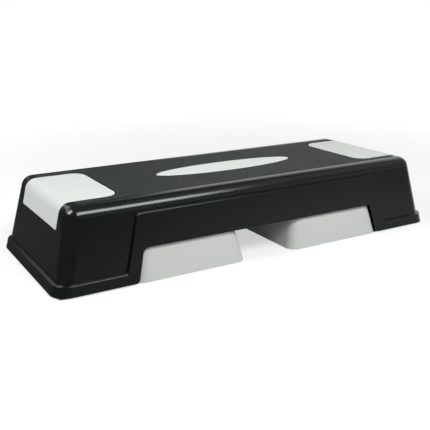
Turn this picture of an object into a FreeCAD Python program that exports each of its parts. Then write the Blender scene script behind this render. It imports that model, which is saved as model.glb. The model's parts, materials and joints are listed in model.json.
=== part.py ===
import FreeCAD, Part
import math
import os

# Aerobic step platform in millimetres and degrees. The origin is on the floor under the middle of
# the deck, +X runs along the deck, the photographed long side faces -Y and +Z points up.

# Deck: one moulded tray, open underneath, with an end block at each end
deck_length = 680.0
deck_width = 264.0
deck_height = 117.0
floor_gap = 2.0
end_lean = 13.4
side_lean = 7.1
deck_wall = 3.0
corner_radius = 25.0
crown_radius = 17.0

# Skirt that stands proud of the end blocks: flange at the foot, panel along the middle
skirt_step = 4.8
flange_height = 15.5
panel_drop = 18.0
panel_end_margin = 125.8
panel_end_lean = 14.9
panel_corner_radius = 7.0
flange_corner_radius = 4.0
ledge_round = 1.6
crease_angle = 5.0

# Arch in both long walls, where the stowed risers show
foot_length = 120.0
arch_height = 50.0
arch_lean = 12.8
arch_corner_radius = 10.0
foot_corner_radius = 7.0

# Ribs under the tread
rib_thickness = 2.2
rib_depth = 20.0
rib_row_share = 0.48
rib_column_share = 0.3
rib_columns = 2

# Risers: two hollow tapered blocks that plug up into the deck
riser_height = 60.0
riser_wall = 2.6
riser_gap = 82.0
riser_lean = 12.0
riser_corner_radius = 18.0
riser_top_round = 3.0
riser_rim_gap = 0.8
riser_end_tuck = 4.0
riser_side_inset = 0.9
riser_rib_thickness = 2.0
riser_ribs_long = 2
riser_ribs_across = 4

# Pegs on the risers, and the sockets that take them stowed and lifted
lift = 48.0
lift_end_margin = 4.0
peg_diameter = 13.0
peg_length = 12.0
peg_clearance = 0.3
peg_row_share = 0.57
socket_wall = 3.0
seat_clearance = 0.3

# Grey end pads and the oval inlay, each in a recess with a groove round it
pad_length = 118.7
pad_side_margin = 54.5
pad_drop = 37.0
pad_inner_radius = 21.0
pad_low_radius = 3.0
pad_thickness = 2.5
pad_gap = 1.6
pad_backing = 2.6
inlay_length = 252.0
inlay_width = 56.5

# Studs under the pads and the inlay, drawn down by screws
stud_diameter = 9.0
stud_length = 8.0
stud_clearance = 0.3
stud_wall = 2.8
stud_end_gap = 0.3
pad_stud_spread_x = 52.0
pad_stud_row_share = 0.67
inlay_stud_pitch = 70.0
screw_diameter = 3.8
screw_length = 7.5
screw_clearance = 0.1
screw_head_diameter = 13.0
screw_head_height = 2.6
screw_socket_size = 3.0
screw_socket_depth = 1.4
screw_access = 1.5

# Rubber feet
foot_pad_diameter = 24.0
foot_pad_height = 4.0
foot_pad_bevel = 1.0
foot_stem_diameter = 8.0
foot_stem_length = 7.0
foot_stem_clearance = 0.2
foot_pad_margin = 26.0
shelf_thickness = 3.0
shelf_size = 46.0
shelf_corner_radius = 8.0
riser_pad_diameter = 20.0
riser_pad_height = 3.0
riser_pad_margin = 21.0
riser_post_wall = 3.2

# Overrun of cuts past the faces that they open
overrun = 5.0

V = FreeCAD.Vector
quarter_turn = 90.0
half_length = deck_length / 2
half_width = deck_width / 2
flange_top = floor_gap + flange_height
panel_top = deck_height - panel_drop
pad_width = deck_width - 2 * pad_side_margin
pad_low_edge = deck_height - pad_drop
sides = {"left": -1, "right": 1}
faces = {"front": -1, "back": 1}


def rounded_wire(corners, radii, place):
    """Closed wire through the corners, each one rounded by its own radius where that is not zero."""
    count = len(corners)
    starts = []
    ends = []
    middles = []
    for i in range(count):
        here = V(corners[i][0], corners[i][1], 0)
        before = V(corners[i - 1][0], corners[i - 1][1], 0) - here
        after = V(corners[(i + 1) % count][0], corners[(i + 1) % count][1], 0) - here
        before.normalize()
        after.normalize()
        half_angle = before.getAngle(after) / 2
        reach = radii[i] / math.tan(half_angle)
        bisector = before + after
        bisector.normalize()
        centre_distance = radii[i] / math.sin(half_angle)
        starts.append(here + before * reach)
        ends.append(here + after * reach)
        middles.append(here + bisector * (centre_distance - radii[i]))
    edges = []
    for i in range(count):
        if radii[i] > 0:
            arc = Part.Arc(place(starts[i]), place(middles[i]), place(ends[i]))
            edges.append(arc.toShape())
        line = Part.LineSegment(place(ends[i]), place(starts[(i + 1) % count]))
        edges.append(line.toShape())
    return Part.Wire(edges)


def upright_prism(corners, radii, y_low, y_high):
    """Outline drawn in X and Z, carried along Y."""
    wire = rounded_wire(corners, radii, lambda p: V(p.x, y_low, p.y))
    return Part.Face(wire).extrude(V(0, y_high - y_low, 0))


def flat_prism(corners, radii, z_low, z_high):
    """Outline drawn in X and Y, carried up along Z."""
    wire = rounded_wire(corners, radii, lambda p: V(p.x, p.y, z_low))
    return Part.Face(wire).extrude(V(0, 0, z_high - z_low))


def end_prism(corners, radii, x_low, x_high):
    """Outline drawn in Y and Z, carried along X."""
    wire = rounded_wire(corners, radii, lambda p: V(x_low, p.x, p.y))
    return Part.Face(wire).extrude(V(x_high - x_low, 0, 0))


def post(x, y, z_low, z_high, diameter):
    """Upright round post."""
    return Part.makeCylinder(diameter / 2, z_high - z_low, V(x, y, z_low))


def across(low, high):
    """Box between two corners."""
    size = high - low
    return Part.makeBox(size.x, size.y, size.z, low)


def mirrored(shape):
    """The same piece for the other end of the deck."""
    return shape.mirror(V(0, 0, 0), V(1, 0, 0))


def slope(angle):
    """Run of a wall that leans by the angle, for each unit of rise."""
    return math.tan(math.radians(angle))


def sideways(distance, angle):
    """Level shift of a leaning wall that moves by the distance square to itself."""
    return distance / math.cos(math.radians(angle))


def tapered_block(x_low, x_high, y_half, leans, z_datum, levels, radius):
    """Block with leaning walls and rounded upright corners, measured at the datum level."""
    in_x = [(level - z_datum) * slope(leans[0]) for level in levels]
    in_y = [(level - z_datum) * slope(leans[1]) for level in levels]
    block = Part.makeWedge(x_low + in_x[0], levels[0], in_y[0] - y_half, in_y[1] - y_half, x_low + in_x[1],
                           x_high - in_x[0], levels[1], y_half - in_y[0], y_half - in_y[1], x_high - in_x[1])
    block.rotate(V(0, 0, 0), V(1, 0, 0), quarter_turn)
    half_rise = (levels[1] - levels[0]) / 2
    corners = [e for e in block.Edges if abs(e.Vertexes[0].Z - e.Vertexes[1].Z) > half_rise]
    return block.makeFillet(radius, corners)


def deck_block(inset, z_low, z_high):
    """Block parallel to the outside of the skirt, moved inwards by the inset."""
    x_half = half_length - sideways(inset, end_lean)
    y_half = half_width - sideways(inset, side_lean)
    return tapered_block(-x_half, x_half, y_half, (end_lean, side_lean), floor_gap,
                         (z_low, z_high), corner_radius - inset)


def crowned_block(depth, z_low):
    """Tray form below the tread surface by the depth, with the crown rounded between wall and tread."""
    top = deck_height - depth
    block = deck_block(skirt_step + depth, z_low, top)
    rim = [e for e in block.Edges if min(v.Z for v in e.Vertexes) > top - ledge_round]
    return block.makeFillet(crown_radius - depth, rim)


def face_normal(face, point):
    """Unit normal of a face at the point on it."""
    u, v = face.Surface.parameter(point)
    return face.normalAt(u, v)


def sharp_edges(shape, z_above):
    """Edges over a level where the two faces meet at a real angle."""
    found = []
    for edge in shape.Edges:
        middle = edge.valueAt((edge.FirstParameter + edge.LastParameter) / 2)
        owners = shape.ancestorsOfType(edge, Part.Face)
        if middle.z > z_above and len(owners) == 2:
            turn = face_normal(owners[0], middle).getAngle(face_normal(owners[1], middle))
            if turn > math.radians(crease_angle):
                found.append(edge)
    return found


def panel_half(level):
    """Half length of the middle panel at a level; its ends lean in towards the top."""
    return half_length - panel_end_margin - (level - panel_top) * slope(panel_end_lean)


def skirt_outline(shrink):
    """Side view of the skirt, drawn in by the wall for the hollow behind it."""
    end = half_length + overrun
    low = floor_gap - overrun * (shrink > 0)
    ledge = flange_top - shrink
    top = panel_top - shrink
    foot = panel_half(ledge) - shrink
    head = panel_half(top) - shrink
    corners = [(-end, low), (end, low), (end, ledge), (foot, ledge), (head, top),
               (-head, top), (-foot, ledge), (-end, ledge)]
    inner = panel_corner_radius - shrink
    outer = flange_corner_radius + shrink
    radii = [0, 0, 0, outer, inner, inner, outer, 0]
    return upright_prism(corners, radii, -half_width - overrun, half_width + overrun)


def skirt():
    """Flange and middle panel as one solid band, its ledge softly rounded."""
    band = deck_block(0, floor_gap, panel_top + overrun).common(skirt_outline(0))
    return band.makeFillet(ledge_round, sharp_edges(band, floor_gap + ledge_round))


def hollow():
    """Space inside the tray, one wall in from every outer face and open underneath."""
    low = floor_gap - overrun
    behind_tread = crowned_block(deck_wall, low)
    behind_skirt = deck_block(deck_wall, low, panel_top).common(skirt_outline(deck_wall))
    return behind_tread.fuse(behind_skirt)


def arch_half(level):
    """Half length of the arch at a level; its sides lean in towards the top."""
    return half_length - foot_length - (level - floor_gap) * slope(arch_lean)


def arch():
    """Opening through both long walls, open towards the floor."""
    low = floor_gap - overrun
    foot = arch_half(low)
    head = arch_half(arch_height)
    corners = [(-foot, low), (foot, low), (head, arch_height), (-head, arch_height)]
    radii = [0, 0, arch_corner_radius, arch_corner_radius]
    return upright_prism(corners, radii, -half_width - overrun, half_width + overrun)


def rounded_toes(shell):
    """The shell with the lower corners beside the arch rounded."""
    toe = arch_half(floor_gap)
    edges = []
    for edge in shell.Edges:
        box = edge.BoundBox
        at_toe = toe - ledge_round < abs(box.Center.x) < toe + ledge_round
        if at_toe and box.ZMax < floor_gap + ledge_round and box.XLength < box.YLength:
            edges.append(edge)
    return shell.makeFillet(foot_corner_radius, edges)


def ribs():
    """Grid of ribs under the tread, let into the walls by half their thickness."""
    top = deck_height - deck_wall / 2
    low = top - rib_depth
    inside = crowned_block(deck_wall / 2, low)
    bars = []
    for i in (-1, 0, 1):
        y = i * rib_row_share * half_width
        bars.append(across(V(-half_length, y - rib_thickness / 2, low),
                           V(half_length, y + rib_thickness / 2, top)))
    for i in range(-rib_columns, rib_columns + 1):
        x = i * rib_column_share * half_length
        bars.append(across(V(x - rib_thickness / 2, -half_width, low),
                           V(x + rib_thickness / 2, half_width, top)))
    return [bar.common(inside) for bar in bars]


def riser_outer_end():
    """Outer end of a riser at the floor, tucked a little behind the arch."""
    return arch_half(floor_gap) + riser_end_tuck


def peg_places():
    """Peg centres on the right riser, across the middle of its roof."""
    middle = (riser_gap / 2 + riser_outer_end()) / 2
    row = deck_width * peg_row_share / 2
    return [(middle, y) for y in (-row, row)]


def sockets():
    """Tubes under the tread that take the pegs, short ones for stowing and long ones for the lift."""
    bore = peg_diameter + 2 * peg_clearance
    outside = bore + 2 * socket_wall
    top = deck_height - deck_wall / 2
    stow_rim = riser_height + seat_clearance
    lift_rim = riser_height - lift
    lift_shift = half_length - lift_end_margin - riser_outer_end()
    inside = crowned_block(deck_wall / 2, floor_gap)
    tubes = []
    bores = []
    for x, y in peg_places():
        for place, rim in ((x, stow_rim), (x + lift_shift, lift_rim)):
            tubes.append(post(place, y, rim, top, outside).common(inside))
            bores.append(post(place, y, rim - overrun, rim + peg_length + seat_clearance, bore))
    return tubes, bores


def shelf_places():
    """Centres of the rubber feet of the deck."""
    x = half_length - foot_pad_margin - deck_wall
    y = half_width - foot_pad_margin - deck_wall
    return x, y


def corner_shelf():
    """Shelf across the front right corner of the flange, which carries a rubber foot."""
    low = foot_pad_height
    high = low + shelf_thickness
    inner_x = half_length - shelf_size
    inner_y = half_width - shelf_size
    corners = [(inner_x, -half_width), (half_length, -half_width), (half_length, -inner_y), (inner_x, -inner_y)]
    plate = flat_prism(corners, [0, 0, 0, shelf_corner_radius], low, high)
    x, y = shelf_places()
    hole = post(x, -y, low - overrun, high + overrun, foot_stem_diameter + 2 * foot_stem_clearance)
    return plate.common(deck_block(deck_wall / 2, floor_gap, flange_top)).cut(hole)


def four_ways(shape):
    """A corner piece and its three mirror images."""
    right = [shape, shape.mirror(V(0, 0, 0), V(0, 1, 0))]
    return right + [mirrored(piece) for piece in right]


def pad_region(grow):
    """Space over the right end that the pad fills: in plan on the tread, and down the end wall."""
    inner = half_length - pad_length - grow
    y = pad_width / 2 + grow
    outer = half_length + overrun
    plan = [(inner, -y), (outer, -y), (outer, y), (inner, y)]
    radius = pad_inner_radius + grow
    top = deck_height + overrun
    low = pad_low_edge - grow
    over = flat_prism(plan, [radius, 0, 0, radius], low, top)
    drop = [(-y, low), (y, low), (y, top), (-y, top)]
    low_radius = pad_low_radius + grow
    return over.common(end_prism(drop, [low_radius, low_radius, 0, 0], inner - overrun, outer))


def inlay_region(grow, z_low, z_high):
    """Long oval, grown all round, carried up through the tread."""
    oval = Part.Ellipse(V(0, 0, z_low), inlay_length / 2 + grow, inlay_width / 2 + grow)
    return Part.Face(Part.Wire([oval.toShape()])).extrude(V(0, 0, z_high - z_low))


def layer(depth, thickness):
    """Skin of the tray form between two depths below its surface."""
    low = flange_top
    return crowned_block(depth, low).cut(crowned_block(depth + thickness, low - overrun))


def pad_stud_places():
    """Stud centres under the right pad, clear of the crown."""
    middle = half_length - pad_length / 2 - crown_radius - skirt_step
    row = pad_width * pad_stud_row_share / 2
    return [(middle + sx * pad_stud_spread_x / 2, sy * row) for sx in (-1, 1) for sy in (-1, 1)]


def inlay_stud_places():
    """Stud centres in a row under the inlay."""
    return [(i * inlay_stud_pitch, 0) for i in (-1, 0, 1)]


def stud_levels():
    """Top of a stud, where it joins its pad, and the rim of the sleeve that it hangs in."""
    seat = deck_height - pad_thickness
    return seat, seat - stud_length


def stud_sleeves(places):
    """Sleeves under the tread and the bores in them."""
    seat, rim = stud_levels()
    bore = stud_diameter + 2 * stud_clearance
    tubes = [post(x, y, rim, seat, bore + 2 * stud_wall) for x, y in places]
    bores = [post(x, y, rim - overrun, seat + overrun, bore) for x, y in places]
    access = screw_head_diameter + 2 * screw_access
    wells = [post(x, y, rim - rib_depth, rim, access) for x, y in places]
    return tubes, bores + wells


def studs(places):
    """Studs of a pad, with the pilot hole that a screw bites in."""
    seat, rim = stud_levels()
    tip = rim + stud_end_gap
    hole_top = rim + screw_length + stud_end_gap
    hole = screw_diameter + 2 * screw_clearance
    return [post(x, y, tip, seat, stud_diameter).cut(post(x, y, tip - overrun, hole_top, hole)) for x, y in places]


def screws(places):
    """Flanged screws driven up from below against the sleeves."""
    rim = stud_levels()[1]
    made = []
    for x, y in places:
        head = post(x, y, rim - screw_head_height, rim, screw_head_diameter)
        crown = [e for e in head.Edges if len(e.Vertexes) == 1 and e.Vertexes[0].Z < rim - screw_socket_depth]
        head = head.makeChamfer(screw_head_height / 2, crown)
        key = across(V(-screw_socket_size / 2, -screw_socket_size / 2, -overrun),
                     V(screw_socket_size / 2, screw_socket_size / 2, screw_socket_depth))
        key.translate(V(x, y, rim - screw_head_height))
        shank = post(x, y, rim, rim + screw_length, screw_diameter)
        made.append(head.fuse(shank).cut(key).removeSplitter())
    return Part.makeCompound(made)


def both_ends(places):
    """Places at the right end and their mirror images at the left end."""
    return places + [(-x, y) for x, y in places]


def deck_shell():
    """The moulded deck: skin, hollow, arch, ribs, sockets, shelves and the pans that hold the pads."""
    skin = crowned_block(0, floor_gap).fuse(skirt())
    shell = rounded_toes(skin.cut(hollow()).cut(arch()))
    tubes, bores = sockets()
    tubes = tubes + [mirrored(tube) for tube in tubes]
    bores = bores + [mirrored(bore) for bore in bores]
    sleeves, sleeve_bores = stud_sleeves(both_ends(pad_stud_places()) + inlay_stud_places())
    pan_layer = layer(pad_thickness, pad_backing)
    pan = pan_layer.common(pad_region(deck_wall))
    inlay_low = deck_height - pad_thickness - pad_backing
    inlay_pan = inlay_region(deck_wall, inlay_low, deck_height - pad_thickness)
    added = tubes + sleeves + ribs() + four_ways(corner_shelf())
    added = added + [pan, mirrored(pan), inlay_pan]
    shell = shell.multiFuse(added)
    recess = layer(0, pad_thickness).common(pad_region(pad_gap))
    inlay_recess = inlay_region(pad_gap, deck_height - pad_thickness, deck_height + overrun)
    cuts = bores + sleeve_bores + [recess, mirrored(recess), inlay_recess]
    return shell.cut(cuts).removeSplitter()


def end_pad():
    """Grip pad of the right end, wrapped from the tread over the crown on to the end wall."""
    skin = layer(0, pad_thickness).common(pad_region(0))
    return skin.multiFuse(studs(pad_stud_places())).removeSplitter()


def centre_inlay():
    """Blank oval inlay in the middle of the tread."""
    plate = inlay_region(0, deck_height - pad_thickness, deck_height)
    return plate.multiFuse(studs(inlay_stud_places())).removeSplitter()


def riser_block(inset, z_low, z_high):
    """Tapered block parallel to the outside of the right riser, moved inwards by the inset."""
    shift = sideways(inset, riser_lean)
    y_half = half_width - riser_side_inset - shift
    return tapered_block(riser_gap / 2 + shift, riser_outer_end() - shift, y_half, (riser_lean, riser_lean), 0,
                         (z_low, z_high), riser_corner_radius - inset)


def riser_pad_places():
    """Centres of the rubber pads under the right riser."""
    x_low = riser_gap / 2 + riser_pad_margin
    x_high = riser_outer_end() - riser_pad_margin
    y = half_width - deck_wall - riser_pad_margin
    return {("front", "inner"): (x_low, -y), ("front", "outer"): (x_high, -y),
            ("back", "inner"): (x_low, y), ("back", "outer"): (x_high, y)}


def riser_ribs():
    """Ribs inside the right riser, from its roof down to just above the rim."""
    low = riser_pad_height
    top = riser_height - riser_wall / 2
    inside = riser_block(riser_wall / 2, low, top)
    box = inside.BoundBox
    bars = []
    for i in range(riser_ribs_long):
        x = box.XMin + box.XLength * (i + 1) / (riser_ribs_long + 1)
        bars.append(across(V(x - riser_rib_thickness / 2, box.YMin, low),
                           V(x + riser_rib_thickness / 2, box.YMax, top)))
    for i in range(riser_ribs_across):
        y = box.YMin + box.YLength * (i + 1) / (riser_ribs_across + 1)
        bars.append(across(V(box.XMin, y - riser_rib_thickness / 2, low),
                           V(box.XMax, y + riser_rib_thickness / 2, top)))
    return [bar.common(inside) for bar in bars]


def riser():
    """Right riser: hollow tapered block with a closed roof, ribs, foot posts and pegs."""
    block = riser_block(0, riser_rim_gap, riser_height)
    rim = [e for e in block.Edges if min(v.Z for v in e.Vertexes) > riser_height - riser_top_round]
    block = block.makeFillet(riser_top_round, rim)
    shell = block.cut(riser_block(riser_wall, riser_rim_gap - overrun, riser_height - riser_wall))
    roof = riser_height - riser_wall / 2
    stem_hole = foot_stem_diameter + 2 * foot_stem_clearance
    outside = stem_hole + 2 * riser_post_wall
    posts = [post(x, y, riser_pad_height, roof, outside) for x, y in riser_pad_places().values()]
    posts = [piece.common(riser_block(riser_wall / 2, riser_pad_height, riser_height)) for piece in posts]
    pegs = []
    for x, y in peg_places():
        peg = post(x, y, roof, riser_height + peg_length, peg_diameter)
        tip = [e for e in peg.Edges if len(e.Vertexes) == 1 and e.Vertexes[0].Z > riser_height]
        pegs.append(peg.makeChamfer(riser_wall / 2, tip))
    shell = shell.multiFuse(riser_ribs() + posts + pegs)
    holes = [post(x, y, riser_pad_height - overrun, riser_pad_height + foot_stem_length + foot_stem_clearance,
                  stem_hole) for x, y in riser_pad_places().values()]
    return shell.cut(holes).removeSplitter()


def rubber_foot(x, y, diameter, height):
    """Rubber foot: a disc with a bevelled sole and a stem pushed up into its seat."""
    disc = post(x, y, 0, height, diameter)
    sole = [e for e in disc.Edges if len(e.Vertexes) == 1 and e.Vertexes[0].Z < foot_pad_bevel]
    disc = disc.makeChamfer(foot_pad_bevel, sole)
    stem = post(x, y, height, height + foot_stem_length, foot_stem_diameter)
    return disc.fuse(stem).removeSplitter()


def save(name, shape):
    shape.exportStep("parts/" + name + ".step")


def main():
    os.makedirs("parts", exist_ok=True)
    save("deck_shell", deck_shell())
    save("centre_inlay", centre_inlay())
    save("inlay_screws", screws(inlay_stud_places()))
    right_pad = end_pad()
    right_riser = riser()
    right_screws = screws(pad_stud_places())
    foot_x, foot_y = shelf_places()
    for side, sign in sides.items():
        turn = mirrored if sign < 0 else lambda shape: shape
        save("end_pad_" + side, turn(right_pad))
        save("end_pad_screws_" + side, turn(right_screws))
        save("riser_" + side, turn(right_riser))
        for face, way in faces.items():
            foot = rubber_foot(sign * foot_x, way * foot_y, foot_pad_diameter, foot_pad_height)
            save("deck_foot_" + face + "_" + side, foot)
        for (face, end), (x, y) in riser_pad_places().items():
            pad = rubber_foot(sign * x, y, riser_pad_diameter, riser_pad_height)
            save("riser_pad_" + side + "_" + face + "_" + end, pad)


main()
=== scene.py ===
# %% [markdown]
# # An aerobic step, dressed for its portrait
# The step is a black moulded deck with two grey pads, a grey oval in its middle and two grey
# risers stowed underneath. The solids come ready from the CAD model as a fixed frame, in metres.
# This lesson gives them smooth skins, soft-edged pads, plastic finishes, a studio and a camera.

# %% Load the frame
import functools
import json
import math
import bpy
import numpy as np
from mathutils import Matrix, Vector

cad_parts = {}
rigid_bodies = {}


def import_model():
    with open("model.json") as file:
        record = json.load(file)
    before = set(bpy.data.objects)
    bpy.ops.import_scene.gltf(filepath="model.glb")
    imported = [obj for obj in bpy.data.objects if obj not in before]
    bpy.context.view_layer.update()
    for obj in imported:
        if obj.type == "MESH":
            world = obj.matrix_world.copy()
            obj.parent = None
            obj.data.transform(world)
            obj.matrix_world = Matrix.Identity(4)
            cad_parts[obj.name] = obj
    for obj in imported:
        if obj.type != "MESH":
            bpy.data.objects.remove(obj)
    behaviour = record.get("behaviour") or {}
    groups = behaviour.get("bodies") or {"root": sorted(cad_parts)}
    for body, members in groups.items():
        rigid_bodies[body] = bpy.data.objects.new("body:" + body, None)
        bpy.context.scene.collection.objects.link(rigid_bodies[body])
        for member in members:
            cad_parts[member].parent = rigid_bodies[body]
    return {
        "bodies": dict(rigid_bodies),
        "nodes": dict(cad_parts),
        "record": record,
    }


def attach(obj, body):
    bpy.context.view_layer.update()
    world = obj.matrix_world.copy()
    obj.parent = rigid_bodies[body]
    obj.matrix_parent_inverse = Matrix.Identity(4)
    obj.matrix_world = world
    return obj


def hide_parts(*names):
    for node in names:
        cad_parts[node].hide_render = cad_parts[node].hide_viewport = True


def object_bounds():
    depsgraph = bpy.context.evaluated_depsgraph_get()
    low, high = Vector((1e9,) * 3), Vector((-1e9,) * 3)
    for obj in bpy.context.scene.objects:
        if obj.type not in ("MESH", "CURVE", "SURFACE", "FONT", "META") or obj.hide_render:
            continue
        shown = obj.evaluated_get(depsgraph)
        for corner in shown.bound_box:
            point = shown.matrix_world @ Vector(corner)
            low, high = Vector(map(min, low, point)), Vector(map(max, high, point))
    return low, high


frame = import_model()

MM = 0.001
cad_box = [[float(c) for c in corner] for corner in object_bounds()]
HALF_LENGTH, HALF_WIDTH, DECK_TOP = cad_box[1]
print("CAD box:", cad_box)

# %% [markdown]
# ## Camera
# The photograph looks down a little on the front left corner. A camera can be placed by eye, but
# here its place, turn and lens were worked out from the edges of the step in the photograph, so
# that the long edges run towards the same vanishing points.

# %% Camera at the photograph's angle
FRAME_PIXELS = 430
SENSOR_MM = 36.0
FOCAL_PIXELS = 683.2
CAMERA_PLACE = (-0.5797, -0.9353, 0.3699)
CAMERA_PITCH = 17.10
CAMERA_YAW = 30.89
UPRIGHT = 90.0

camera_data = bpy.data.cameras.new("portrait_camera")
camera_data.sensor_width = SENSOR_MM
camera_data.lens = FOCAL_PIXELS / FRAME_PIXELS * SENSOR_MM
camera = bpy.data.objects.new("portrait_camera", camera_data)
camera.location = CAMERA_PLACE
camera.rotation_euler = (math.radians(UPRIGHT - CAMERA_PITCH), 0, math.radians(-CAMERA_YAW))
bpy.context.scene.collection.objects.link(camera)
bpy.context.scene.camera = camera
print("lens in mm:", round(camera_data.lens, 2))

# %% [markdown]
# ## Helpers for node trees
# Every finish below is a small tree of shader nodes. Short helpers keep the cells readable: one
# adds a node with its settings and fixed inputs, one joins two sockets, one empties a tree, and
# one starts a material that already has its shader.


# %% Node helpers
def add_node(tree, kind, inputs=None, **settings):
    """Adds a node, sets its properties, then sets the named or numbered inputs to fixed values."""
    node = tree.nodes.new(kind)
    for key, value in settings.items():
        setattr(node, key, value)
    for key, value in (inputs or {}).items():
        node.inputs[key].default_value = value
    return node


def join(tree, start, end):
    """Links an output socket to an input socket."""
    tree.links.new(start, end)


def empty_tree(owner):
    """Node tree of a material, a world or a lamp, with all its nodes taken out."""
    owner.use_nodes = True
    owner.node_tree.nodes.clear()
    return owner.node_tree


def start_material(name):
    """A material with an empty tree apart from a Principled BSDF and its output."""
    material = bpy.data.materials.new(name)
    tree = empty_tree(material)
    surface = add_node(tree, "ShaderNodeBsdfPrincipled")
    output = add_node(tree, "ShaderNodeOutputMaterial")
    join(tree, surface.outputs["BSDF"], output.inputs["Surface"])
    return material, tree, surface


print("helpers:", [helper.__name__ for helper in (add_node, join, empty_tree, start_material)])

# %% [markdown]
# ## Shared effects: moulded grain and handling marks
# A steel mould is etched before it is used, so every plastic part carries a fine pebbled grain.
# It could be modelled, but at a few tenths of a millimetre it only breaks up the reflections,
# so a height for a Bump node is enough. Rounded Voronoi cells give the pebbles and a noise makes
# them uneven. A slow second noise is the mottle that long cooling leaves in colour and gloss.

# %% Grain group
GRAIN_INPUTS = {"Cells": 900.0, "Patches": 9.0}
PEBBLE_FORM = {"Randomness": 0.9, "Smoothness": 0.6}
PEBBLE_SHARE = -0.8
UNEVEN_FORM = {"Detail": 2.0, "Roughness": 0.55}
PATCH_FORM = {"Detail": 3.0, "Roughness": 0.5}


def new_group(name, inputs, outputs):
    """An empty shader node group with float inputs, given with their defaults, and float outputs."""
    group = bpy.data.node_groups.new(name, "ShaderNodeTree")
    for label, value in inputs.items():
        socket = group.interface.new_socket(label, in_out="INPUT", socket_type="NodeSocketFloat")
        socket.default_value = value
    for label in outputs:
        group.interface.new_socket(label, in_out="OUTPUT", socket_type="NodeSocketFloat")
    return group, add_node(group, "NodeGroupInput"), add_node(group, "NodeGroupOutput")


def multiply_add(tree, socket, factor, addend):
    """A socket's value times a fixed factor, plus the value of another socket."""
    node = add_node(tree, "ShaderNodeMath", {1: factor}, operation="MULTIPLY_ADD")
    join(tree, socket, node.inputs[0])
    join(tree, addend, node.inputs[2])
    return node.outputs["Value"]


def make_grain_group():
    """
    Pebble height and slow mottle, both from Object coordinates, with cells per metre as inputs. The
    height is a noise less a share of the distance from the middle of the nearest cell.
    """
    group, given, result = new_group("moulded_grain", GRAIN_INPUTS, ["Height", "Mottle"])
    place = add_node(group, "ShaderNodeTexCoord")
    pebbles = add_node(group, "ShaderNodeTexVoronoi", PEBBLE_FORM, feature="SMOOTH_F1")
    uneven = add_node(group, "ShaderNodeTexNoise", UNEVEN_FORM)
    patches = add_node(group, "ShaderNodeTexNoise", PATCH_FORM)
    for texture, scale in ((pebbles, "Cells"), (uneven, "Cells"), (patches, "Patches")):
        join(group, place.outputs["Object"], texture.inputs["Vector"])
        join(group, given.outputs[scale], texture.inputs["Scale"])
    height = multiply_add(group, pebbles.outputs["Distance"], PEBBLE_SHARE, uneven.outputs["Fac"])
    join(group, height, result.inputs["Height"])
    join(group, patches.outputs["Fac"], result.inputs["Mottle"])
    return group


grain_group = make_grain_group()
print("group:", grain_group.name, [socket.name for socket in grain_group.interface.items_tree])

# %% [markdown]
# Handling leaves faint rubs that show only as a change of gloss. Noise stretched along the step
# and cut off near its peaks leaves a few long thin streaks, which is what a wiped or stacked
# plastic part has.

# %% Rub marks group
RUB_INPUTS = {"Streaks": 30.0}
RUB_STRETCH = (0.25, 1.6, 1.0)
RUB_TURN = (0.0, 0.0, 0.35)
RUB_FORM = {"Detail": 5.0, "Roughness": 0.62}
RUB_PEAKS = (0.56, 0.78)


def smooth_step(tree, socket, low, high, start=0.0, end=1.0):
    """Smooth change from start to end while the socket's value goes from low to high."""
    limits = {"From Min": low, "From Max": high, "To Min": start, "To Max": end}
    node = add_node(tree, "ShaderNodeMapRange", limits, interpolation_type="SMOOTHSTEP")
    join(tree, socket, node.inputs["Value"])
    return node.outputs["Result"]


def make_rub_group():
    """Mask of sparse long streaks: stretched noise, with only its peaks kept."""
    group, given, result = new_group("rub_marks", RUB_INPUTS, ["Mask"])
    place = add_node(group, "ShaderNodeTexCoord")
    stretch = add_node(group, "ShaderNodeMapping", {"Scale": RUB_STRETCH, "Rotation": RUB_TURN})
    noise = add_node(group, "ShaderNodeTexNoise", RUB_FORM)
    join(group, place.outputs["Object"], stretch.inputs["Vector"])
    join(group, stretch.outputs["Vector"], noise.inputs["Vector"])
    join(group, given.outputs["Streaks"], noise.inputs["Scale"])
    join(group, smooth_step(group, noise.outputs["Fac"], *RUB_PEAKS), result.inputs["Mask"])
    return group


rub_group = make_rub_group()
print("group:", rub_group.name, [socket.name for socket in rub_group.interface.items_tree])

# %% [markdown]
# ## Where the tread begins
# The tread is the flat top inside the rounded crown. Its coarse etching ends a few millimetres
# before the crown starts to bend, so a mask is needed there. Paint or an image could give one, but
# the edge is a plain rounded rectangle, and the distance from such a rectangle has a short formula.

# %% Tread mask group
FLOOR_GAP = 2.0 * MM
END_LEAN = math.radians(13.4)
SIDE_LEAN = math.radians(7.1)
SKIRT_STEP = 4.8 * MM
CROWN_RADIUS = 17.0 * MM
TREAD_CORNER = 7.0 * MM
TREAD_MARGIN = 4.2 * MM
TREAD_FADE = 0.5 * MM
TREAD_SKIN = 1.0 * MM
OVER_THE_TOP = 1.0


def crown_start(half_size, lean):
    """Distance from the middle at which the crown starts: wall line at the top, less the bend's tangent."""
    wall = half_size - SKIRT_STEP / math.cos(lean) - (DECK_TOP - FLOOR_GAP) * math.tan(lean)
    return wall - CROWN_RADIUS * math.tan((math.pi / 2 - lean) / 2)


TREAD_HALF = (crown_start(HALF_LENGTH, END_LEAN), crown_start(HALF_WIDTH, SIDE_LEAN))


def math_node(tree, operation, *sockets):
    """A Math node on one or two sockets."""
    node = add_node(tree, "ShaderNodeMath", operation=operation)
    for socket, slot in zip(sockets, node.inputs):
        join(tree, socket, slot)
    return node.outputs["Value"]


def split_vector(tree, vector):
    """The X, Y and Z of a vector socket."""
    node = add_node(tree, "ShaderNodeSeparateXYZ")
    join(tree, vector, node.inputs["Vector"])
    return node.outputs


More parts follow.
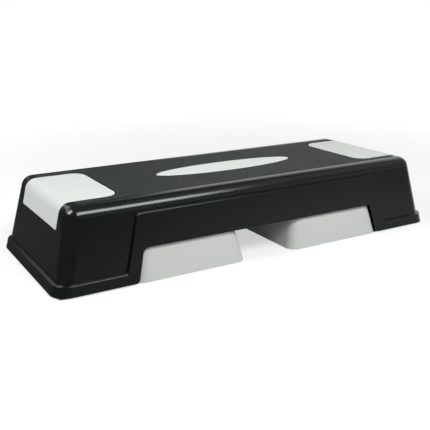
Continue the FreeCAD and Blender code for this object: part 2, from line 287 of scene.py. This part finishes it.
def make_tread_group():
    """
    Mask of the tread: one where the top lies inside a rounded rectangle. The distance from it is the
    length of the part of (|x|, |y|) that passes the straight sides, less the corner radius. The limit
    for z lies over the top of the step, so that height adds nothing to that length.
    """
    group, _, result = new_group("tread_area", {}, ["Mask"])
    place = add_node(group, "ShaderNodeTexCoord").outputs["Object"]
    straight = [half - TREAD_MARGIN - TREAD_CORNER for half in TREAD_HALF]
    size = add_node(group, "ShaderNodeVectorMath", operation="ABSOLUTE")
    past = add_node(group, "ShaderNodeVectorMath", {1: (*straight, OVER_THE_TOP)}, operation="SUBTRACT")
    beyond = add_node(group, "ShaderNodeVectorMath", operation="MAXIMUM")
    length = add_node(group, "ShaderNodeVectorMath", operation="LENGTH")
    fade = {"From Min": TREAD_CORNER - TREAD_FADE, "From Max": TREAD_CORNER, "To Min": 1.0, "To Max": 0.0}
    inside = add_node(group, "ShaderNodeMapRange", fade)
    above = add_node(group, "ShaderNodeMath", {1: DECK_TOP - TREAD_SKIN}, operation="GREATER_THAN")
    join(group, place, size.inputs[0])
    join(group, size.outputs["Vector"], past.inputs[0])
    join(group, past.outputs["Vector"], beyond.inputs[0])
    join(group, beyond.outputs["Vector"], length.inputs[0])
    join(group, length.outputs["Value"], inside.inputs["Value"])
    join(group, split_vector(group, place)["Z"], above.inputs[0])
    both = math_node(group, "MULTIPLY", inside.outputs["Result"], above.outputs["Value"])
    join(group, both, result.inputs["Mask"])
    return group


tread_group = make_tread_group()
print("tread half sizes in mm:", [round(half / MM, 1) for half in TREAD_HALF])

# %% [markdown]
# ## Blending
# A finish carries values from one range into another, blends two values or two colours by a mask,
# and turns a height into a bump. Each of these is a single node. Wrapped in a function, it lets a
# finish read as a list of what it does.


# %% Blending helpers
def group_node(tree, group, **values):
    """A placed node group with its own input values."""
    return add_node(tree, "ShaderNodeGroup", values, node_tree=group)


def scaled(tree, socket, low, high, given=(0.0, 1.0)):
    """A value from the given range carried into the range from low to high."""
    limits = {"From Min": given[0], "From Max": given[1], "To Min": low, "To Max": high}
    node = add_node(tree, "ShaderNodeMapRange", limits, clamp=False)
    join(tree, socket, node.inputs["Value"])
    return node.outputs["Result"]


def float_mix(tree, factor, first, second):
    """Blend of two values by a factor."""
    node = add_node(tree, "ShaderNodeMix", data_type="FLOAT")
    for socket, label in ((factor, "Factor"), (first, "A"), (second, "B")):
        join(tree, socket, node.inputs[label])
    return node.outputs["Result"]


def colour_mix(tree, factor, first, second):
    """Blend of two colours by a factor. A colour is a fixed value or a socket."""
    node = add_node(tree, "ShaderNodeMix", data_type="RGBA")
    join(tree, factor, node.inputs["Factor"])
    for socket, value in zip([s for s in node.inputs if s.type == "RGBA"], (first, second)):
        if isinstance(value, tuple):
            socket.default_value = value
        else:
            join(tree, value, socket)
    return [s for s in node.outputs if s.type == "RGBA"][0]


def add_bump(tree, surface, height, strength, distance):
    """Bump from a height socket into the surface's normal."""
    bump = add_node(tree, "ShaderNodeBump", {"Strength": strength, "Distance": distance})
    join(tree, height, bump.inputs["Height"])
    join(tree, bump.outputs["Normal"], surface.inputs["Normal"])


print("helpers:", [helper.__name__ for helper in (group_node, scaled, float_mix, colour_mix, add_bump)])

# %% [markdown]
# ## Finish of the deck
# The deck is one black moulding with two textures. The tread is etched coarse so that shoes grip,
# and looks charcoal: the tops of its grain are paler, as wear, and its pits are darker, which is
# painted shade in the recesses. The crown and the walls are satin and keep crisp reflections. Two
# materials on two sets of faces could do that. Here one material does both, and the mask tells them
# apart, so the border needs no edge in the mesh.

# %% Deck material
DECK_BLACK = (0.0044, 0.0058, 0.0054, 1.0)
# Colour of the grain's pits: painted shade in the recesses.
TREAD_PIT_SHADE = (0.0014, 0.0021, 0.0020, 1.0)
TREAD_TOP = (0.0190, 0.0280, 0.0258, 1.0)
BLACK_GLINT = (0.88, 1.0, 0.97, 1.0)
TREAD_GRAIN = {"Cells": 300.0, "Patches": 11.0}
WALL_GRAIN = {"Cells": 2600.0, "Patches": 7.0}
DECK_STREAKS = 26.0
PEBBLE_RANGE = (-0.1, 0.5)
TREAD_ROUGHNESS = (0.60, 0.72)
WALL_ROUGHNESS = (0.14, 0.22)
RUB_DULLS = 0.05
WALL_HEIGHT = 0.028
DECK_BUMP = 0.9
DECK_BUMP_DEPTH = 0.45 * MM


def make_deck_material():
    """Satin black moulding with a coarser, duller tread inside the crown."""
    material, tree, surface = start_material("deck_black_moulding")
    tread = group_node(tree, tread_group).outputs["Mask"]
    coarse = group_node(tree, grain_group, **TREAD_GRAIN)
    fine = group_node(tree, grain_group, **WALL_GRAIN)
    rubs = group_node(tree, rub_group, Streaks=DECK_STREAKS)
    pebble = scaled(tree, coarse.outputs["Height"], 0.0, 1.0, PEBBLE_RANGE)
    # Tread colour by grain height: paler tops are wear, darker pits are painted shade in the recesses.
    pit_shade_and_wear = colour_mix(tree, pebble, TREAD_PIT_SHADE, TREAD_TOP)
    join(tree, colour_mix(tree, tread, DECK_BLACK, pit_shade_and_wear), surface.inputs["Base Color"])
    satin = scaled(tree, fine.outputs["Mottle"], *WALL_ROUGHNESS)
    wall_roughness = multiply_add(tree, rubs.outputs["Mask"], RUB_DULLS, satin)
    tread_roughness = scaled(tree, coarse.outputs["Mottle"], *TREAD_ROUGHNESS)
    join(tree, float_mix(tree, tread, wall_roughness, tread_roughness), surface.inputs["Roughness"])
    wall_height = scaled(tree, fine.outputs["Height"], 0.0, WALL_HEIGHT)
    height = float_mix(tree, tread, wall_height, coarse.outputs["Height"])
    add_bump(tree, surface, height, DECK_BUMP, DECK_BUMP_DEPTH)
    surface.inputs["Specular Tint"].default_value = BLACK_GLINT
    return material


deck_material = make_deck_material()
print("material:", deck_material.name)

# %% [markdown]
# ## Finishes of the grey parts, the rubber and the screws
# The pads, the oval and the risers are light grey plastic that differs in grain size, gloss and
# shade. The rubber feet are dull and dark, and the screws are bright zinc, which a metallic
# surface with a little roughness gives. Each could have a tree of its own, but all of them are a
# grained surface with a mottled shade, so one function makes the five.

# %% Grey, rubber and zinc materials
GRAINED_PATCHES = 12.0
GRAINED_STREAKS = 34.0
RUB_SHINES = -0.06
GRAIN_DEPTH = 0.08 * MM
PAD_SHADES = ((0.560, 0.590, 0.570, 1.0), (0.596, 0.627, 0.607, 1.0))
INLAY_SHADES = ((0.599, 0.631, 0.610, 1.0), (0.636, 0.668, 0.647, 1.0))
RISER_SHADES = ((0.469, 0.490, 0.474, 1.0), (0.495, 0.516, 0.500, 1.0))
RUBBER_SHADES = ((0.020, 0.020, 0.020, 1.0), (0.030, 0.030, 0.030, 1.0))
ZINC_SHADES = ((0.52, 0.53, 0.54, 1.0), (0.62, 0.63, 0.64, 1.0))


def make_grained(name, shades, cells, roughness, bump, metallic=0.0):
    """Plain finish: shade and roughness go from low to high with the mottle, and the grain gives the bump."""
    material, tree, surface = start_material(name)
    grain = group_node(tree, grain_group, Cells=cells, Patches=GRAINED_PATCHES)
    rubs = group_node(tree, rub_group, Streaks=GRAINED_STREAKS)
    mottle = grain.outputs["Mottle"]
    join(tree, colour_mix(tree, mottle, *shades), surface.inputs["Base Color"])
    rubbed = multiply_add(tree, rubs.outputs["Mask"], RUB_SHINES, scaled(tree, mottle, *roughness))
    join(tree, rubbed, surface.inputs["Roughness"])
    add_bump(tree, surface, grain.outputs["Height"], bump, GRAIN_DEPTH)
    surface.inputs["Metallic"].default_value = metallic
    return material


pad_material = make_grained("pad_grey_plastic", PAD_SHADES,
                            cells=1400.0, roughness=(0.62, 0.74), bump=0.35)
inlay_material = make_grained("inlay_grey_plastic", INLAY_SHADES,
                              cells=2200.0, roughness=(0.50, 0.60), bump=0.2)
riser_material = make_grained("riser_grey_plastic", RISER_SHADES,
                              cells=1700.0, roughness=(0.42, 0.54), bump=0.3)
rubber_material = make_grained("foot_rubber", RUBBER_SHADES,
                               cells=1200.0, roughness=(0.70, 0.85), bump=0.5)
zinc_material = make_grained("screw_zinc", ZINC_SHADES,
                             cells=2500.0, roughness=(0.28, 0.42), bump=0.15, metallic=1.0)
print("materials:", [material.name for material in bpy.data.materials])

# %% [markdown]
# ## Smooth skins for the CAD solids
# A CAD node arrives as loose triangles, so its curved faces look faceted. Its own mesh stays as it
# is. A copy is made from the same corners: equal corners are merged, faces are shaded smooth,
# edges over a set angle are kept sharp, and weighted normals keep the large flat faces flat.

# %% Merged corners
MERGE_STEP = 0.002 * MM


def merged_corners(mesh):
    """Corners and triangles of a mesh after corners at the same place, to a small step, become one."""
    corners = np.empty(len(mesh.vertices) * 3)
    mesh.vertices.foreach_get("co", corners)
    corners = corners.reshape(-1, 3)
    mesh.calc_loop_triangles()
    triangles = np.empty(len(mesh.loop_triangles) * 3, dtype=np.int64)
    mesh.loop_triangles.foreach_get("vertices", triangles)
    cells = np.round(corners / MERGE_STEP).astype(np.int64)
    _, first, back = np.unique(cells, axis=0, return_index=True, return_inverse=True)
    triangles = back.reshape(-1)[triangles].reshape(-1, 3)
    a, b, c = triangles.T
    return corners[first], triangles[(a != b) & (b != c) & (c != a)]


def make_mesh(name, corners, faces):
    """A smooth-shaded mesh object at the origin, from an array of corners and a list of faces."""
    mesh = bpy.data.meshes.new(name)
    mesh.from_pydata(corners.tolist(), [], faces)
    mesh.validate()
    mesh.shade_smooth()
    piece = bpy.data.objects.new(name, mesh)
    bpy.context.scene.collection.objects.link(piece)
    return piece


print("corners closer than this become one, in mm:", MERGE_STEP / MM)

# %% [markdown]
# Each copy then takes its node's place: it rides on the same body and hides the node. The record
# tells which finish a node gets. The pads and the oval are left out here, because they get rounder
# shapes of their own below.

# %% Skins in their places
SHARP_ANGLE = 28.0
FACE_WEIGHT = 100
NODE_BODY = {node: body for body, nodes in frame["record"]["behaviour"]["bodies"].items() for node in nodes}
NODE_SLOT = {part["node"]: part["material_slot"] for part in frame["record"]["subparts"]}
SKIN_FINISH = {"deck_black": deck_material, "riser_grey": riser_material,
               "foot_rubber": rubber_material, "screw_steel": zinc_material}


def finish_piece(piece, material, node):
    """Gives a piece its finish and its place on the node's body, and hides the node."""
    piece.data.materials.append(material)
    body = NODE_BODY[node]
    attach(piece, body)
    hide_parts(node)


def smooth_copy(node, material):
    """Merged, smooth-shaded stand-in for a CAD node, with normals weighted by the size of the faces."""
    corners, triangles = merged_corners(frame["nodes"][node].data)
    piece = make_mesh(node + "_skin", corners, triangles.tolist())
    piece.data.set_sharp_from_angle(angle=math.radians(SHARP_ANGLE))
    modifier = piece.modifiers.new("weighted", "WEIGHTED_NORMAL")
    modifier.keep_sharp = True
    modifier.weight = FACE_WEIGHT
    finish_piece(piece, material, node)
    return piece


for node in sorted(frame["nodes"]):
    if NODE_SLOT[node] in SKIN_FINISH:
        skin = smooth_copy(node, SKIN_FINISH[NODE_SLOT[node]])
        print(skin.name, len(skin.data.vertices), "corners")

# %% [markdown]
# ## Sheets with a rolled rim
# The pads and the oval are thin plates whose rims are rolled over, which draws a fine dark line
# round them. Such a plate can be cut from a block and bevelled. Here it is one grid instead: rings
# that grow from the middle to the outline, a quarter circle down the rim, a wall and a closed
# underside. A function lays the flat outline on whatever surface the plate follows.

# %% Ring sheet
RING_COUNT = 30
RIM_STEPS = 6
POLE_SHARE = 0.02
UNDERSIDE_SHARES = (1.0, 0.5, POLE_SHARE)
PLATE_THICKNESS = 2.5 * MM
PLATE_RIM = 0.9 * MM


def ring_sheet(name, outline, lay):
    """
    Closed plate as a grid of rings. On the top, ring by ring, the outline grows from the middle in
    equal shares. The rim is a quarter circle: inset = rim (1 - sin t), depth = rim (1 - cos t). The
    wall and the underside follow, and a small face closes each middle.
    outline(inset) gives points of the outline moved inwards, and lay(points, depth) places them.
    """
    edge, core = outline(0.0), outline(PLATE_RIM)
    middle = core.mean(axis=0)
    shares = np.linspace(POLE_SHARE, 1.0, RING_COUNT)
    turns = np.linspace(0, math.pi / 2, RIM_STEPS + 1)[1:]
    rings = [lay(middle + share * (core - middle), 0.0) for share in shares]
    rings += [lay(outline(PLATE_RIM * (1 - math.sin(t))), PLATE_RIM * (1 - math.cos(t))) for t in turns]
    rings += [lay(middle + share * (edge - middle), PLATE_THICKNESS) for share in UNDERSIDE_SHARES]
    grid = np.stack(rings)
    here = np.arange(grid.shape[0] * grid.shape[1]).reshape(grid.shape[:2])
    after = np.roll(here, -1, axis=1)
    quads = np.stack([here[:-1], here[1:], after[1:], after[:-1]], axis=-1).reshape(-1, 4)
    middles = [here[0].tolist(), here[-1][::-1].tolist()]
    return make_mesh(name, grid.reshape(-1, 3), quads.tolist() + middles)


print("rings in a sheet:", RING_COUNT + RIM_STEPS + len(UNDERSIDE_SHARES))

# %% [markdown]
# ## End pads
# Each pad starts on the tread with two large round corners, bends over the crown and ends on the
# leaning end wall. Unrolled it is a flat rounded rectangle, so it is drawn flat, as width and
# length along the bend, and then laid on the profile: tread, arc, wall.

# %% Pads wrapped over the crown
PAD_REACH = 118.3 * MM
PAD_HALF_WIDTH = 76.9 * MM
PAD_LOW = 80.0 * MM
PAD_CORNERS = (21.0 * MM, 3.0 * MM)
LEAST_RADIUS = 0.1 * MM
CORNER_STEPS = 24
SIDE_STEPS = 60

PAD_INNER_X = HALF_LENGTH - PAD_REACH
BEND_ANGLE = math.pi / 2 - END_LEAN
FLAT_RUN = TREAD_HALF[0] - PAD_INNER_X
BEND_RUN = CROWN_RADIUS * BEND_ANGLE
BEND_END_Z = DECK_TOP - CROWN_RADIUS * (1 - math.cos(BEND_ANGLE))
PAD_RUN = FLAT_RUN + BEND_RUN + (BEND_END_Z - PAD_LOW) / math.cos(END_LEAN)


def wrapped(points, depth):
    """
    Lays (width, run) points on the end of the deck: straight on the tread, then round the crown by
    run over radius, then straight down the wall. Depth is measured inwards along the normal. Width
    runs towards -Y, so that an outline drawn anticlockwise gets faces that point outwards.
    """
    width, run = points.T
    angle = np.clip((run - FLAT_RUN) / CROWN_RADIUS, 0, BEND_ANGLE)
    down = np.maximum(run - FLAT_RUN - BEND_RUN, 0)
    x = PAD_INNER_X + np.minimum(run, FLAT_RUN)
    x = x + CROWN_RADIUS * np.sin(angle) + down * math.cos(BEND_ANGLE) - depth * np.sin(angle)
    z = DECK_TOP - CROWN_RADIUS * (1 - np.cos(angle)) - down * math.sin(BEND_ANGLE) - depth * np.cos(angle)
    return np.stack([x, -width, z], axis=1)


def pad_outline(inset):
    """Rounded rectangle in width and run: four quarter circles joined by evenly divided sides."""
    low, high = inset, PAD_RUN - inset
    wide = PAD_HALF_WIDTH - inset
    near, far = (max(radius - inset, LEAST_RADIUS) for radius in PAD_CORNERS)
    quarter = np.linspace(0, math.pi / 2, CORNER_STEPS)
    corners = ((-wide + near, low + near, near, math.pi), (wide - near, low + near, near, 1.5 * math.pi),
               (wide - far, high - far, far, 0.0), (-wide + far, high - far, far, 0.5 * math.pi))
    arcs = [np.stack([x + radius * np.cos(start + quarter), y + radius * np.sin(start + quarter)], axis=1)
            for x, y, radius, start in corners]
    share = np.linspace(0, 1, SIDE_STEPS + 2)[1:-1, None]
    stretches = []
    for arc, following in zip(arcs, arcs[1:] + arcs[:1]):
        stretches += [arc, arc[-1] + share * (following[0] - arc[-1])]
    return np.concatenate(stretches)


def mirror_x(piece):
    """Turns a piece into its mirror image across the middle of the deck, faces kept outwards."""
    corners = np.empty(len(piece.data.vertices) * 3)
    piece.data.vertices.foreach_get("co", corners)
    corners = corners.reshape(-1, 3) * (-1, 1, 1)
    piece.data.vertices.foreach_set("co", corners.ravel())
    piece.data.flip_normals()


for side in ("right", "left"):
    pad = ring_sheet("pad_" + side, pad_outline, wrapped)
    if side == "left":
        mirror_x(pad)
    finish_piece(pad, pad_material, "end_pad_" + side)
    print(pad.name, len(pad.data.vertices), "corners, run over the bend in mm:", round(PAD_RUN / MM, 1))

# %% [markdown]
# ## Oval inlay
# The blank oval in the middle of the tread is a long ellipse. Its rim is the same ellipse moved
# inwards along its own normals, so that the rolled edge is equally wide at the tips and the sides.

# %% Oval inlay
OVAL_HALF_LENGTH = 126.0 * MM
OVAL_HALF_WIDTH = 28.25 * MM
OVAL_STEPS = 360


def oval_outline(inset):
    """Ellipse (a cos t, b sin t), each point moved inwards along the normal (b cos t, a sin t)."""
    turn = np.linspace(0, 2 * math.pi, OVAL_STEPS, endpoint=False)
    across = np.stack([OVAL_HALF_WIDTH * np.cos(turn), OVAL_HALF_LENGTH * np.sin(turn)], axis=1)
    across /= np.linalg.norm(across, axis=1, keepdims=True)
    edge = np.stack([OVAL_HALF_LENGTH * np.cos(turn), OVAL_HALF_WIDTH * np.sin(turn)], axis=1)
    return edge - inset * across


def laid_flat(points, depth):
    """Lays flat points on the tread, a depth below its surface."""
    return np.column_stack([points, np.full(len(points), DECK_TOP - depth)])


oval = ring_sheet("oval_inlay", oval_outline, laid_flat)
finish_piece(oval, inlay_material, "centre_inlay")
print(oval.name, len(oval.data.vertices), "corners")

# %% [markdown]
# ## Floor
# The studio floor is pale and plain. To rays that look at it, from the camera or in a reflection,
# it gives off over half of its white itself, and the rest is light from the lamps, so that the
# step keeps a soft shadow. The lamps fade with distance and the glow takes over there. Under the
# closed end blocks no light gets in, so the glow stops there, as long as the floor is up against
# the step.

# %% Glow of the floor
FLOOR_GLOW = (0.58, 0.99)
GLOW_REACH = (0.35, 2.0)
DARK_LENGTH = (185 * MM, 205 * MM, 330 * MM, 336 * MM)
DARK_WIDTH = (124 * MM, 129 * MM)
DARK_SINK = (-20 * MM, -1 * MM)


def combined(tree, operation, sockets):
    """Several sockets taken together, two at a time, such as their product or their maximum."""
    return functools.reduce(lambda first, second: math_node(tree, operation, first, second), sockets)


def floor_glow(tree):
    """
    Strength of the floor's own light. It goes from the low to the high level while the distance from
    the middle goes through its reach, and falls to zero in the dark areas unless the floor has sunk.
    """
    place = add_node(tree, "ShaderNodeTexCoord").outputs["Object"]
    away = add_node(tree, "ShaderNodeVectorMath", operation="LENGTH")
    size = add_node(tree, "ShaderNodeVectorMath", operation="ABSOLUTE")
    join(tree, place, away.inputs[0])
    join(tree, place, size.inputs[0])
    spot = split_vector(tree, size.outputs["Vector"])
    sunk = split_vector(tree, add_node(tree, "ShaderNodeObjectInfo").outputs["Location"])
    under = combined(tree, "MULTIPLY", [smooth_step(tree, spot["X"], *DARK_LENGTH[:2]),
                                        smooth_step(tree, spot["X"], *DARK_LENGTH[2:], 1.0, 0.0),
                                        smooth_step(tree, spot["Y"], *DARK_WIDTH, 1.0, 0.0),
                                        smooth_step(tree, sunk["Z"], *DARK_SINK)])
    level = smooth_step(tree, away.outputs["Value"], *GLOW_REACH, *FLOOR_GLOW)
    return math_node(tree, "MULTIPLY", level, smooth_step(tree, under, 0.0, 1.0, 1.0, 0.0))


print("glow from", FLOOR_GLOW[0], "to", FLOOR_GLOW[1], "between these distances in m:", GLOW_REACH)

# %% [markdown]
# Light that bounces off the floor sees an ordinary pale surface. From below the floor is clear, so
# that the underside can be looked at. A riser is pulled out by lifting the deck off it. The model
# keeps the deck still and lets the riser go down, so a Floor constraint for each riser lets the
# floor go down with the lowest one.

# %% Floor
FLOOR_HALF = 40.0
FLOOR_PALE = (0.62, 0.62, 0.62, 1.0)
FLOOR_LIT = (0.385, 0.385, 0.385, 1.0)
SQUARE = np.array([(-1, -1, 0), (1, -1, 0), (1, 1, 0), (-1, 1, 0)], dtype=float)
ONE_FACE = [[0, 1, 2, 3]]


def seen_by(tree, kinds):
    """One for the named kinds of ray, zero for all others."""
    path = add_node(tree, "ShaderNodeLightPath")
    return combined(tree, "MAXIMUM", [path.outputs["Is " + kind + " Ray"] for kind in kinds])


def mix_shader(tree, factor, first, second):
    """Blend of two shaders by a factor."""
    node = add_node(tree, "ShaderNodeMixShader")
    for socket, slot in zip((factor, first, second), node.inputs):
        join(tree, socket, slot)
    return node.outputs["Shader"]


def make_floor_material():
    """Diffuse for bounced light, darker diffuse plus glow for rays that look at it, clear from below."""
    material = bpy.data.materials.new("studio_floor")
    tree = empty_tree(material)
    bounced = add_node(tree, "ShaderNodeBsdfDiffuse", {"Color": FLOOR_PALE})
    shaded = add_node(tree, "ShaderNodeBsdfDiffuse", {"Color": FLOOR_LIT})
    glow = add_node(tree, "ShaderNodeEmission")
    lit = add_node(tree, "ShaderNodeAddShader")
    facing = add_node(tree, "ShaderNodeNewGeometry")
    clear = add_node(tree, "ShaderNodeBsdfTransparent")
    output = add_node(tree, "ShaderNodeOutputMaterial")
    join(tree, floor_glow(tree), glow.inputs["Strength"])
    join(tree, shaded.outputs["BSDF"], lit.inputs[0])
    join(tree, glow.outputs["Emission"], lit.inputs[1])
    looked = seen_by(tree, ("Camera", "Glossy", "Transmission"))
    top = mix_shader(tree, looked, bounced.outputs["BSDF"], lit.outputs["Shader"])
    surface = mix_shader(tree, facing.outputs["Backfacing"], top, clear.outputs["BSDF"])
    join(tree, surface, output.inputs["Surface"])
    return material


floor = make_mesh("studio_floor", SQUARE * FLOOR_HALF, ONE_FACE)
floor.data.materials.append(make_floor_material())
for body in ("riser_left", "riser_right"):
    follow = floor.constraints.new("FLOOR")
    follow.target = frame["bodies"][body]
    follow.floor_location = "FLOOR_NEGATIVE_Z"
print("floor side in m:", 2 * FLOOR_HALF, "goes down with:", [rule.target.name for rule in floor.constraints])

# %% [markdown]
# Glossy black turns grey when a white floor shines in it. Photographers lay dark cards round such
# a step, so that its walls mirror something dark, and cut the cards out of the picture later. Two
# cards lie on the floor here, in front and at the left end. Only reflections see them. They are
# graded and grow lighter to the right and towards the step, as the front of the real step does.

# %% Dark cards round the step
CARD_REACH = 30.0
CARD_LIFT = 0.5 * MM
CARD_GAP = 1.0 * MM
CARD_SLOPE = (1.0, 0.8, 0.0)
CARD_GRADE = (-0.95, 0.20)
FRONT_CARD_SHADES = ((0.04, 0.04, 0.04, 1.0), (0.35, 0.35, 0.35, 1.0))
LEFT_CARD_SHADES = ((0.05, 0.05, 0.05, 1.0), (0.085, 0.085, 0.085, 1.0))
FRONT_LINE = -HALF_WIDTH - CARD_GAP
END_LINE = -HALF_LENGTH - CARD_GAP


def make_card_material(name, shades):
    """Diffuse that goes from one grey to the other along a sloping direction."""
    material = bpy.data.materials.new(name)
    tree = empty_tree(material)
    place = add_node(tree, "ShaderNodeTexCoord")
    along = add_node(tree, "ShaderNodeVectorMath", {1: CARD_SLOPE}, operation="DOT_PRODUCT")
    grey = add_node(tree, "ShaderNodeBsdfDiffuse")
    output = add_node(tree, "ShaderNodeOutputMaterial")
    join(tree, place.outputs["Object"], along.inputs[0])
    share = smooth_step(tree, along.outputs["Value"], *CARD_GRADE)
    join(tree, colour_mix(tree, share, *shades), grey.inputs["Color"])
    join(tree, grey.outputs["BSDF"], output.inputs["Surface"])
    return material


def make_card(name, near, far, shades):
    """Rectangular card between two corners, seen only in reflections."""
    corners = np.array([(near[0], near[1]), (far[0], near[1]), (far[0], far[1]), (near[0], far[1])])
    card = make_mesh(name, np.column_stack([corners, np.full(len(corners), CARD_LIFT)]), ONE_FACE)
    card.data.materials.append(make_card_material(name, shades))
    card.visible_camera = False
    card.visible_diffuse = False
    card.visible_shadow = False
    return card


cards = [make_card("card_front", (-CARD_REACH, -CARD_REACH), (CARD_REACH, FRONT_LINE), FRONT_CARD_SHADES),
         make_card("card_left", (-CARD_REACH, FRONT_LINE), (END_LINE, CARD_REACH), LEFT_CARD_SHADES)]
print("cards:", [card.name for card in cards])

# %% [markdown]
# ## Room
# Glossy black shows its surroundings, so the room matters more than the lamps. The world is dim
# overhead, has a white screen behind the right half of the step up to a set height, a grey wall at
# the right and a low one in front. The camera sees it as plain white. An image of a real studio
# could do the same, but a few soft-edged patches are easier to place and to change.

# %% World
ROOM_DIM = 0.10
ROOM_TOP = 0.16
TOP_HEIGHT = (35.0, 65.0)
SCREEN_WHITE = 0.90
SCREEN_AZIMUTH = (24.0, 29.0, 80.0, 95.0)
SCREEN_HEIGHT = (40.0, 46.0)
SIDE_GREY = 0.45
SIDE_AZIMUTH = (80.0, 95.0, 118.0, 150.0)
SIDE_HEIGHT = (60.0, 80.0)
FRONT_GREY = 0.50
FRONT_AZIMUTH = (95.0, 130.0, 150.0, 179.0)
FRONT_HEIGHT = (5.0, 30.0)
PLAIN_WHITE = (1.0, 1.0, 1.0, 1.0)


def wall_patch(tree, azimuth, height, across, up, level):
    """Soft-edged patch of the room: a level between azimuths, from +Y towards +X, and below a height."""
    across = [math.radians(angle) for angle in across]
    up = [math.radians(angle) for angle in up]
    return combined(tree, "MULTIPLY", [smooth_step(tree, azimuth, *across[:2]),
                                       smooth_step(tree, azimuth, *across[2:], 1.0, 0.0),
                                       smooth_step(tree, height, *up, level, 0.0)])


def make_world():
    """Dim room with a white screen, a grey wall and a low grey front, plain white to the camera."""
    world = bpy.data.worlds.new("studio_room")
    tree = empty_tree(world)
    direction = split_vector(tree, add_node(tree, "ShaderNodeTexCoord").outputs["Generated"])
    azimuth = math_node(tree, "ARCTAN2", direction["X"], direction["Y"])
    height = math_node(tree, "ARCSINE", direction["Z"])
    top = [math.radians(angle) for angle in TOP_HEIGHT]
    levels = [smooth_step(tree, height, *top, ROOM_DIM, ROOM_TOP),
              wall_patch(tree, azimuth, height, SCREEN_AZIMUTH, SCREEN_HEIGHT, SCREEN_WHITE),
              wall_patch(tree, azimuth, height, SIDE_AZIMUTH, SIDE_HEIGHT, SIDE_GREY),
              wall_patch(tree, azimuth, height, FRONT_AZIMUTH, FRONT_HEIGHT, FRONT_GREY),
              seen_by(tree, ("Camera", "Transmission"))]
    background = add_node(tree, "ShaderNodeBackground", {"Color": PLAIN_WHITE})
    output = add_node(tree, "ShaderNodeOutputWorld")
    join(tree, combined(tree, "MAXIMUM", levels), background.inputs["Strength"])
    join(tree, background.outputs["Background"], output.inputs["Surface"])
    return world


bpy.context.scene.world = make_world()
print("world:", bpy.context.scene.world.name)

# %% [markdown]
# ## Lamps
# A wide softbox high in front lays the bright line along the crown. One at the left, which fades
# towards the back, lights the end wall and the round of the corner. A weak wide one at the left
# back lets the rounds of the left end glow. Area lamps do this, because their shape is what the
# glossy crown mirrors.

# %% Softboxes
LEFT_FADE = 4.0


def fade_across(data, fade):
    """Lets a softbox fade across its width: strength is the share of the width to a power."""
    tree = empty_tree(data)
    place = add_node(tree, "ShaderNodeNewGeometry")
    power = add_node(tree, "ShaderNodeMath", {1: fade}, operation="POWER")
    glow = add_node(tree, "ShaderNodeEmission")
    output = add_node(tree, "ShaderNodeOutputLight")
    join(tree, split_vector(tree, place.outputs["Parametric"])["X"], power.inputs[0])
    join(tree, power.outputs["Value"], glow.inputs["Strength"])
    join(tree, glow.outputs["Emission"], output.inputs["Surface"])


def add_softbox(name, direction, distance, size, power):
    """Rectangular area lamp in a direction from the step, turned to face it. Metres and watts."""
    data = bpy.data.lights.new(name, "AREA")
    data.shape = "RECTANGLE"
    data.size, data.size_y = size
    data.energy = power
    lamp = bpy.data.objects.new(name, data)
    towards = Vector(direction).normalized()
    lamp.location = towards * distance
    lamp.rotation_euler = (-towards).to_track_quat("-Z", "Y").to_euler()
    lamp.visible_camera = False
    bpy.context.scene.collection.objects.link(lamp)
    return lamp


add_softbox("front_softbox", direction=(0.06, -0.70, 0.71), distance=1.6, size=(1.24, 0.59), power=23.9)
left_softbox = add_softbox("left_softbox", direction=(-0.64, 0.31, 0.703), distance=1.5,
                           size=(1.2, 0.74), power=64.0)
fade_across(left_softbox.data, LEFT_FADE)
add_softbox("back_softbox", direction=(-0.50, 0.67, 0.545), distance=1.5, size=(1.05, 0.46), power=2.1)

# %% Finish
bpy.context.scene.view_settings.view_transform = "Standard"
